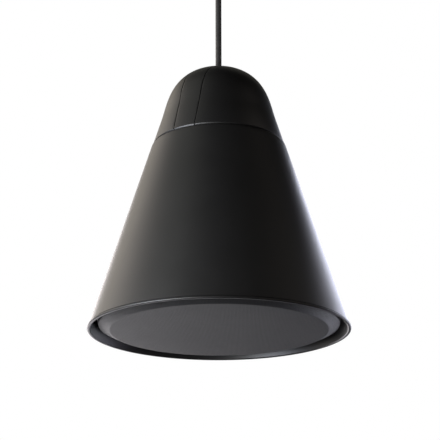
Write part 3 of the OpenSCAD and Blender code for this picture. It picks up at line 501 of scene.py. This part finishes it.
film_brown.bump(film_brown.noise(0.004, 2), 0.00015, 0.6)
finished(bpy.data.objects["capacitors"], film_brown)
ceramic = Finish("resistor_ceramic", (0.7, 0.68, 0.62), 0.7)
grit = ceramic.noise(0.0007, 4)
ceramic.tint(grit * 0.6 + ceramic.noise(0.006, 4) * 0.4, (0.55, 0.53, 0.48), (0.8, 0.78, 0.73))
ceramic.feed(Roughness=0.6 + grit * 0.24)
ceramic.bump(grit, 0.00012, 0.8)
finished(bpy.data.objects["resistors"], ceramic)

# The baffle is a moulded ring, screwed through a foam gasket to six bosses on the ledge. Two
# moulded port tubes are glued into it.
for node in ("baffle", "port_left", "port_right"):
    finished(bpy.data.objects[node], abs_black)
foam = Finish("gasket_foam", (0.07, 0.07, 0.07), 0.85)
cells = foam.node("TexVoronoi", {"feature": "F1"}, {"Vector": foam.place(), "Scale": 1400.0}, out="Distance")
foam.tint(cells, (0.03, 0.03, 0.03), (0.1, 0.1, 0.1))
foam.feed(Roughness=0.8 + foam.noise(0.004, 3) * 0.15)
foam.bump(cells, 0.0003, 0.8)
for node in ("baffle_gasket", "woofer_gasket"):
    finished(bpy.data.objects[node], foam)
screw_black = Finish("screw_black_zinc", (0.05, 0.05, 0.055), 0.35, Metallic=0.9)
screw_black.tint(screw_black.noise(0.002, 4), (0.035, 0.035, 0.04), (0.075, 0.075, 0.08))
screw_black.feed(Roughness=0.3 + screw_black.noise(0.001, 3) * 0.2)
screw_black.bump(screw_black.noise(0.0004, 2), 0.00002, 0.5)
for node in ("baffle_screws", "woofer_screws"):
    finished(bpy.data.objects[node], screw_black)

# The woofer's basket is pressed steel with six windows, powder coated grey black. Its cone is
# black paper pulp with a rubber roll at its edge, cut here where the roll's crown turns.
basket_coat = Finish("basket_coat", (0.045, 0.045, 0.048), 0.5)
texture = basket_coat.noise(0.0008, 3)
basket_coat.tint(basket_coat.noise(0.02, 4), (0.038, 0.038, 0.04), (0.056, 0.056, 0.06))
basket_coat.feed(Roughness=0.44 + texture * 0.16)
basket_coat.bump(texture, 0.00005, 0.6)
for node in ("woofer_basket", "tweeter_can"):
    finished(bpy.data.objects[node], basket_coat)
cone_r, neck_r, cone_front, neck_z, pulp = 59.0, 16.45, 11.8, 35.8, 0.8


def flare(shift, inset, steps=14):
    """The cone's curve from its edge to its neck, moved back by its thickness."""
    edge = Vector((cone_r - 3 - inset, cone_front + shift))
    bend = Vector((neck_r + 13 - inset, neck_z - 8 + shift - pulp))
    neck = Vector((neck_r + pulp - inset, neck_z + shift - pulp))
    line = []
    for i in range(steps + 1):
        t = i / steps
        line.append(tuple(edge * (1 - t) ** 2 + bend * 2 * t * (1 - t) + neck * t * t))
    return line


cone_section = [(cone_r, cone_front), (cone_r, cone_front + pulp)] + flare(pulp + 0.4, 0)
cone_section += [(neck_r + pulp, neck_z + 4), (neck_r, neck_z + 4), (neck_r, neck_z - 0.4)]
cone_section += flare(0.0, 0.6)[::-1] + [(cone_r - 2.5, cone_front)]
paper_cone = turned("woofer_paper_cone", cone_section, 144)
eased(paper_cone, 0)
paper = Finish("paper_pulp", (0.02, 0.0198, 0.0195), 0.85)
fibres = paper.noise(0.0006, 5, stretch=(1, 0.25, 1))
paper.tint(fibres, (0.011, 0.011, 0.0108), (0.036, 0.0355, 0.035))
paper.feed(Roughness=0.76 + fibres * 0.2)
paper.bump(fibres + paper.noise(0.002, 3) * 0.5, 0.00015, 0.8)
finished(paper_cone, paper)
in_place(paper_cone, "woofer_cone", "woofer_moving")

roll_in, roll_out, roll_z, rubber_wall = 59.2, 67.6, 11.0, 0.7
roll_foot, roll_flange, foot_sheet = 2.5, 4, 0.6
roll_crown = ((roll_in + roll_out) / 2, roll_z)
roll_r = (roll_out - roll_in) / 2
rubber = Finish("roll_rubber", (0.0125, 0.0122, 0.012), 0.6)
bloom = rubber.noise(0.01, 5)
rubber.tint(bloom, (0.01, 0.0098, 0.0096), (0.02, 0.0195, 0.019))
rubber.feed(Roughness=0.5 + bloom * 0.22)
rubber.bump(rubber.noise(0.0008, 3), 0.00004, 0.5)
foot_back = roll_z + foot_sheet
inner_half = [(roll_in - roll_foot, roll_z)] + quarter(roll_crown, roll_r, 180, 270)
inner_half += quarter(roll_crown, roll_r - rubber_wall, 270, 180)
inner_half += [(roll_in + rubber_wall, foot_back), (roll_in - roll_foot, foot_back)]
outer_half = quarter(roll_crown, roll_r, 270, 360)
outer_half += [(roll_out + roll_flange, roll_z), (roll_out + roll_flange, foot_back)]
outer_half += [(roll_out - rubber_wall, foot_back)] + quarter(roll_crown, roll_r - rubber_wall, 360, 270)
for name, half, body in (("surround_inner_half", inner_half, "woofer_moving"),
                         ("surround_outer_half", outer_half, "hung_unit")):
    roll = turned(name, half, 144)
    eased(roll, 0)
    finished(roll, rubber)
    in_place(roll, "woofer_surround", body)

# The spider is a ring of resin stiffened cotton, pressed into waves. Its inner edge is glued to the
# coil's former and its outer edge to the basket.
spider_in, spider_out, spider_z, waves = 16.6, 44.6, 43.3, 4


def ripple(share):
    """Radius and height of the spider's lower face at a share of its width."""
    span = spider_out - 3.5 - spider_in - 1
    return (spider_in + 1 + span * share, spider_z - 1.1 * sin(share * waves * 2 * pi) * sin(share * pi))


def spider_band(first, last, steps=18):
    low = [ripple(first + (last - first) * i / steps) for i in range(steps + 1)]
    if first == 0:
        low = [(spider_in, spider_z)] + low
    if last == 1:
        low = low + [(spider_out, spider_z)]
    return low + [(r, z + 0.6) for r, z in reversed(low)]


resin_cloth = Finish("resin_cloth", (0.42, 0.24, 0.07), 0.75)
warp = ridges(resin_cloth, "X", 0.0007)
weft = ridges(resin_cloth, "Y", 0.0007)
resin_cloth.tint(warp * weft, (0.24, 0.12, 0.03), (0.56, 0.35, 0.12))
resin_cloth.feed(Roughness=0.66 + resin_cloth.noise(0.004, 3) * 0.2)
resin_cloth.bump(warp * weft, 0.00015, 0.8)
for name, first, last, body in (("spider_inner_half", 0, 0.5, "woofer_moving"),
                                ("spider_outer_half", 0.5, 1, "hung_unit")):
    half = turned(name, spider_band(first, last), 120)
    eased(half, 0)
    finished(half, resin_cloth)
    in_place(half, "woofer_spider", body)

# The voice coil is copper wire on a thin former. The motor is a ferrite ring between two plated
# steel plates, and a post through the pole holds the tweeter.
finished(bpy.data.objects["voice_coil"], wound("coil_copper", "Z", 0.0003))
for node in ("front_plate", "back_plate", "tweeter_post"):
    finished(bpy.data.objects[node], zinc)
sintered = Finish("sintered_ferrite", (0.035, 0.035, 0.037), 0.7)
grains = sintered.noise(0.0012, 5)
sintered.tint(grains, (0.022, 0.022, 0.024), (0.06, 0.06, 0.063))
sintered.feed(Roughness=0.6 + grains * 0.24)
sintered.bump(grains, 0.00012, 0.8)
finished(bpy.data.objects["ferrite_magnet"], sintered)
finished(bpy.data.objects["tweeter_face"], nylon_black)

# The tweeter's dome is doped silk, pressed to shape, with a flat rim glued to its face plate.
dome_r, dome_rise, dome_z, silk_wall = 9.6, 3.2, 11.0, 0.25
ball = (dome_r ** 2 + dome_rise ** 2) / 2 / dome_rise
half_turn = 90 - 180 / pi * atan2(dome_r, ball - dome_rise)
silk_section = quarter((0, dome_z + ball - dome_rise), ball, -90, -half_turn, 12)
silk_section += quarter((0, dome_z + ball - dome_rise), ball - silk_wall, -half_turn, -90, 12)
silk_dome = turned("tweeter_silk_dome", silk_section, 96)
eased(silk_dome, 0)
silk = Finish("doped_silk", (0.03, 0.03, 0.03), 0.6, Sheen_Weight=0.3)
threads = ridges(silk, "X", 0.00035) * ridges(silk, "Y", 0.00035)
silk.tint(threads, (0.018, 0.018, 0.018), (0.05, 0.05, 0.05))
silk.feed(Roughness=0.5 + silk.noise(0.003, 3) * 0.2)
silk.bump(threads, 0.00005, 0.7)
finished(silk_dome, silk)
in_place(silk_dome, "tweeter_dome", "hung_unit")

# A red pair of wires in one jacket runs from the terminals through the deck to the basket.
lead_red = Finish("lead_jacket_red", (0.3, 0.015, 0.015), 0.45)
lead_red.tint(lead_red.noise(0.006, 4), (0.24, 0.01, 0.01), (0.36, 0.024, 0.022))
lead_red.feed(Roughness=0.38 + lead_red.noise(0.002, 3) * 0.16)
lead_red.bump(lead_red.noise(0.0008, 3), 0.00005, 0.5)
finished(bpy.data.objects["driver_lead"], lead_red)

# The domed cap is a strip over the crown and a cover each side of it, moulded with a thin wall.
# Each cover has a tongue that runs under the strip, so that the seams show black and not light.
cap_low, cap_top, dome_start = 225.6, 325.0, 257.0
strip_wall, tongue_wall, tongue_gap, chamfer, dome_pull, crown_pull = 1.8, 1.5, 0.2, 1.3, 26, 59
strip_edge, cover_edge, tongue_edge, tongue_end = 13.55, 14.45, 9.0, 17.45


def cap_radius(height):
    return cone_radius(height, cap_gap)


def dome(steps=40):
    """The cap's outline from its lower edge to the crown, in millimetres above the rim."""
    start = Vector((cap_radius(dome_start), dome_start))
    up_wall = start + Vector((-cone_slope, 1)) * dome_pull / cone_run
    over, crown = Vector((crown_pull, cap_top)), Vector((0, cap_top))
    line = [Vector((cap_radius(cap_low), cap_low))]
    for step in range(steps + 1):
        t = step / steps
        lower = start * (1 - t) ** 3 + up_wall * 3 * t * (1 - t) ** 2
        line.append(lower + over * 3 * t * t * (1 - t) + crown * t ** 3)
    return line


def inward(line, depth):
    """The outline moved in by its own normals, ending on the axis."""
    moved = []
    last = len(line) - 1
    for i, point in enumerate(line):
        run = Vector((-1, 0)) if i == last else line[i + 1] - line[max(i - 1, 0)]
        run = run.normalized()
        moved.append(Vector((max(point.x - run.y * depth, 0.0), point.y + run.x * depth)))
    return moved


def chamfered(line):
    """The lower edge's chamfer, ahead of the rest of the outline."""
    foot = Vector((cap_radius(cap_low) - chamfer, cap_low))
    top = Vector((cap_radius(cap_low + chamfer), cap_low + chamfer))
    return [foot, top] + line[1:]


cap_black = Finish("moulded_cap_black", (0.0062, 0.006, 0.006), 0.42)
cap_grain = cap_black.noise(0.0011, 2)
cap_black.feed(Roughness=0.38 + cap_black.noise(0.03, 4) * 0.06 + cap_grain * 0.04)
cap_black.tint(cap_black.noise(0.05, 5), (0.0052, 0.005, 0.005), (0.0078, 0.0074, 0.0072))
cap_black.bump(cap_grain, 0.00003, 0.6)

outline = dome()
cord_hole_r, sleeve_r, sleeve_low = 5.95, 9.3, 316
upper = [p for p in outline if p.x > cord_hole_r] + [Vector((cord_hole_r, cap_top))]
under = [p for p in inward(outline, strip_wall) if p.x > sleeve_r]
sleeve = [Vector((cord_hole_r, sleeve_low)), Vector((sleeve_r, sleeve_low)), Vector((sleeve_r, under[-1].y))]
strip = turned("cap_strip_moulding", [tuple(p) for p in chamfered(upper) + sleeve + under[::-1]])
cut_off(strip, -strip_edge, 1)
cut_off(strip, strip_edge, -1)
eased(strip, 0.25)
finished(strip, cap_black)
in_place(strip, "cap_strip", "hung_unit")

tongue_low, tongue_in = 233, 11


def tongue_line(depth):
    """The stretch of the outline that a tongue follows, at a depth under the dome."""
    return [tuple(p) for p in inward(outline, depth) if p.y > tongue_low and p.x > tongue_in]


for side, name in ((1, "cap_cover_right"), (-1, "cap_cover_left")):
    inner = inward(outline, cap_wall)
    cover = turned(name + "_moulding", [tuple(p) for p in chamfered(outline) + inner[::-1]])
    cut_off(cover, side * cover_edge, side)
    eased(cover, 0.25)
    tongue_section = tongue_line(strip_wall + tongue_gap)
    tongue_section += tongue_line(strip_wall + tongue_gap + tongue_wall)[::-1]
    tongue = turned(name + "_tongue", tongue_section, 96)
    cut_off(tongue, side * tongue_edge, side)
    cut_off(tongue, side * tongue_end, -side)
    eased(tongue, 0)
    joined(cover, tongue)
    finished(cover, cap_black)
    in_place(cover, name, "hung_unit")

# The grille is a steel sheet, punched with staggered 1.3 mm holes, pressed into a shallow dish
# and powder coated. Magnets in the baffle hold it, and black cloth lies behind the holes.
flat_r, edge_r, flat_z, edge_z, skirt_z, sheet, flat_ring = 125.0, 138.2, 0.3, 6.6, 11.0, 1.0, 60
grille_section = [(0, flat_z), (flat_ring, flat_z), (flat_r - 1.2, flat_z), (flat_r - 0.3, flat_z + 0.08)]
grille_section += [(flat_r + 0.5, flat_z + 0.35), (flat_r + 1.2, flat_z + 0.75)]
grille_section += [(edge_r - 0.9, edge_z - 0.45), (edge_r - 0.3, edge_z - 0.05), (edge_r, edge_z + 0.7)]
grille_section += [(edge_r, skirt_z), (edge_r - sheet, skirt_z), (edge_r - sheet, edge_z + 1.2)]
grille_section += [(edge_r - sheet - 0.6, edge_z + 0.85), (flat_r - 0.3, flat_z + sheet), (0, flat_z + sheet)]
pan = turned("grille_pan", grille_section, 256)
eased(pan, 0)

coat = Finish("perforated_coat", (0.03, 0.03, 0.031), 0.5)
hole_pitch, hole_r = 0.0017, 0.00052
hole_share = hole_r / hole_pitch
axes = coat.node("SeparateXYZ", {}, {0: coat.place()}).socket.node.outputs
east = Wire(coat, axes["X"]) / hole_pitch
north = Wire(coat, axes["Y"]) / hole_pitch
row = 3 ** 0.5


def from_holes(shift):
    """Distance squared from the nearest hole of every second row."""
    x = (east + (0.5 + shift * 0.5)) % 1.0 - 0.5
    y = (north + row * (0.5 + shift * 0.5)) % row - row / 2
    return x * x + y * y


to_hole = coat.node("Math", {"operation": "MINIMUM"}, {0: from_holes(0), 1: from_holes(1)})
web = coat.node("MapRange", {"interpolation_type": "SMOOTHSTEP"},
                {0: to_hole, 1: (hole_share * 0.86) ** 2, 2: (hole_share * 1.12) ** 2, 3: 0.0, 4: 1.0})
coat.tint(web, (0.0055, 0.0055, 0.0057), (0.0185, 0.0185, 0.019))
coat.feed(Roughness=0.72 - web * (0.24 - coat.noise(0.02, 4) * 0.06))
coat.bump(web + coat.noise(0.0006, 2) * 0.06, 0.00018, 0.5)
finished(pan, coat)
in_place(pan, "grille", "hung_unit")

# Black acoustic cloth is glued behind the flat of the grille, and six nickel plated magnets in the
# baffle hold the grille by its skirt.
acoustic = Finish("acoustic_cloth", (0.006, 0.006, 0.006), 0.95)
mesh = ridges(acoustic, "X", 0.0009) * ridges(acoustic, "Y", 0.0009)
acoustic.tint(mesh, (0.003, 0.003, 0.003), (0.011, 0.011, 0.011))
acoustic.feed(Roughness=0.86 + acoustic.noise(0.003, 3) * 0.12)
acoustic.bump(mesh, 0.0002, 0.8)
finished(bpy.data.objects["grille_cloth"], acoustic)
nickel = Finish("nickel_plate", (0.6, 0.58, 0.54), 0.18, Metallic=1.0)
nickel.tint(nickel.noise(0.003, 4), (0.52, 0.5, 0.47), (0.68, 0.66, 0.62))
nickel.feed(Roughness=0.12 + nickel.noise(0.0015, 3) * 0.16)
nickel.bump(nickel.noise(0.0006, 2), 0.00001, 0.4)
finished(bpy.data.objects["grille_magnets"], nickel)

# The floor is one pale sheet far below the speaker.
bpy.ops.object.select_all(action="DESELECT")
floor_wide, floor_below = 30, 2.6
bpy.ops.mesh.primitive_plane_add(size=floor_wide, location=(0, 0, rim_z - floor_below))
floor = bpy.context.object
floor.name = "floor"
pale = Finish("pale_floor", (0.8, 0.8, 0.8), 0.9)
finished(floor, pale)
floor.visible_diffuse = floor.visible_glossy = floor.visible_shadow = False

# The room is white to the eye, and soft screens light the object: broad ones at the sides and high
# behind, a bright one behind for the edges, and two low ones that show in the grille. Their places
# and strengths began as a scratch program's fit to the photograph's brightness, and were rounded.
world = bpy.data.worlds.new("studio")
bpy.context.scene.world = world
world.use_nodes = True
room = Finish.__new__(Finish)
room.tree = world.node_tree
room.tree.nodes.clear()
to_back = -to_camera
direction = room.node("TexCoord", out="Generated")


def screen(turn, lift, outer, colour):
    """Light from one direction of the room, in degrees left of the back and above the horizon,
    that fades out towards an outer angle."""
    aim = (to_back * cos(radians(turn)) - to_right * sin(radians(turn))) * cos(radians(lift))
    aim += Vector((0, 0, sin(radians(lift))))
    facing = room.node("VectorMath", {"operation": "DOT_PRODUCT"}, {0: direction, 1: tuple(aim)}, out="Value")
    glow = room.node("MapRange", {"interpolation_type": "SMOOTHSTEP"},
                     {0: facing, 1: cos(radians(outer)), 2: cos(radians(4)), 3: 0.0, 4: 1.0})
    return room.node("VectorMath", {"operation": "SCALE"}, {0: colour, "Scale": glow})


left_screen = screen(72, 15, 34, (2.75, 2.53, 2.33))
left_back_screen = screen(42, 30, 20, (1.38, 1.25, 1.05))
left_high_screen = screen(108, 45, 34, (0.475, 0.48, 0.415))
back_high_screen = screen(0, 45, 34, (0.26, 0.255, 0.225))
right_screen = screen(-108, 15, 34, (0.64, 0.59, 0.55))
edge_screen = screen(18, 8, 20, (9.0, 8.5, 8.5))
grille_screen = screen(18, -22, 20, (3.2, 3.1, 3.25))
grille_right_screen = screen(-32, -12, 14, (4.2, 4.4, 4.8))
glow = left_screen
for light in (left_back_screen, left_high_screen, back_high_screen, right_screen, edge_screen,
              grille_screen, grille_right_screen):
    glow = room.node("VectorMath", {"operation": "ADD"}, {0: glow, 1: light})
lit = room.node("Background", {}, {"Color": glow, "Strength": 1.0})
seen = room.node("Background", {}, {"Color": (1, 1, 1, 1), "Strength": 1.0})
mixed = room.node("MixShader", {}, {0: room.node("LightPath", out="Is Camera Ray"), 1: lit, 2: seen})
room.tree.links.new(mixed.socket, room.tree.nodes.new("ShaderNodeOutputWorld").inputs["Surface"])


# Two soft lamps stand near in front at the left. Three stand behind at the right, from high to low,
# and draw the bright edge of the cone. Their values come from the same fit as the screens'.
def lamp(name, front, right, height, size, radiance):
    """A round soft light of a given brightness, placed from the rim's middle and turned to it."""
    light = bpy.data.lights.new(name, "AREA")
    light.shape, light.size = "DISK", size
    strongest = max(radiance)
    light.color = [value / strongest for value in radiance]
    light.energy = strongest * pi * pi * size ** 2 / 4
    holder = bpy.data.objects.new(name, light)
    bpy.context.scene.collection.objects.link(holder)
    holder.location = to_camera * front + to_right * right + Vector((0, 0, rim_z + height))
    holder.rotation_euler = (holder.location - Vector((0, 0, rim_z))).to_track_quat("Z", "Y").to_euler()
    holder.visible_camera = False


lamp("left_front_lamp", 0.5, -0.7, -0.1, 0.7, (10.0, 10.6, 12.1))
lamp("front_lamp", 0.6, -0.5, -0.1, 0.5, (6.9, 6.7, 6.1))
lamp("right_back_lamp", -0.9, 0.54, 0.4, 0.6, (5.3, 5.5, 6.6))
lamp("right_side_lamp", -0.4, 0.8, 0.3, 0.5, (1.55, 1.55, 1.75))
lamp("low_right_lamp", -0.5, 0.5, -0.2, 0.5, (1.45, 1.4, 1.7))
bpy.context.scene.view_settings.view_transform = "Standard"
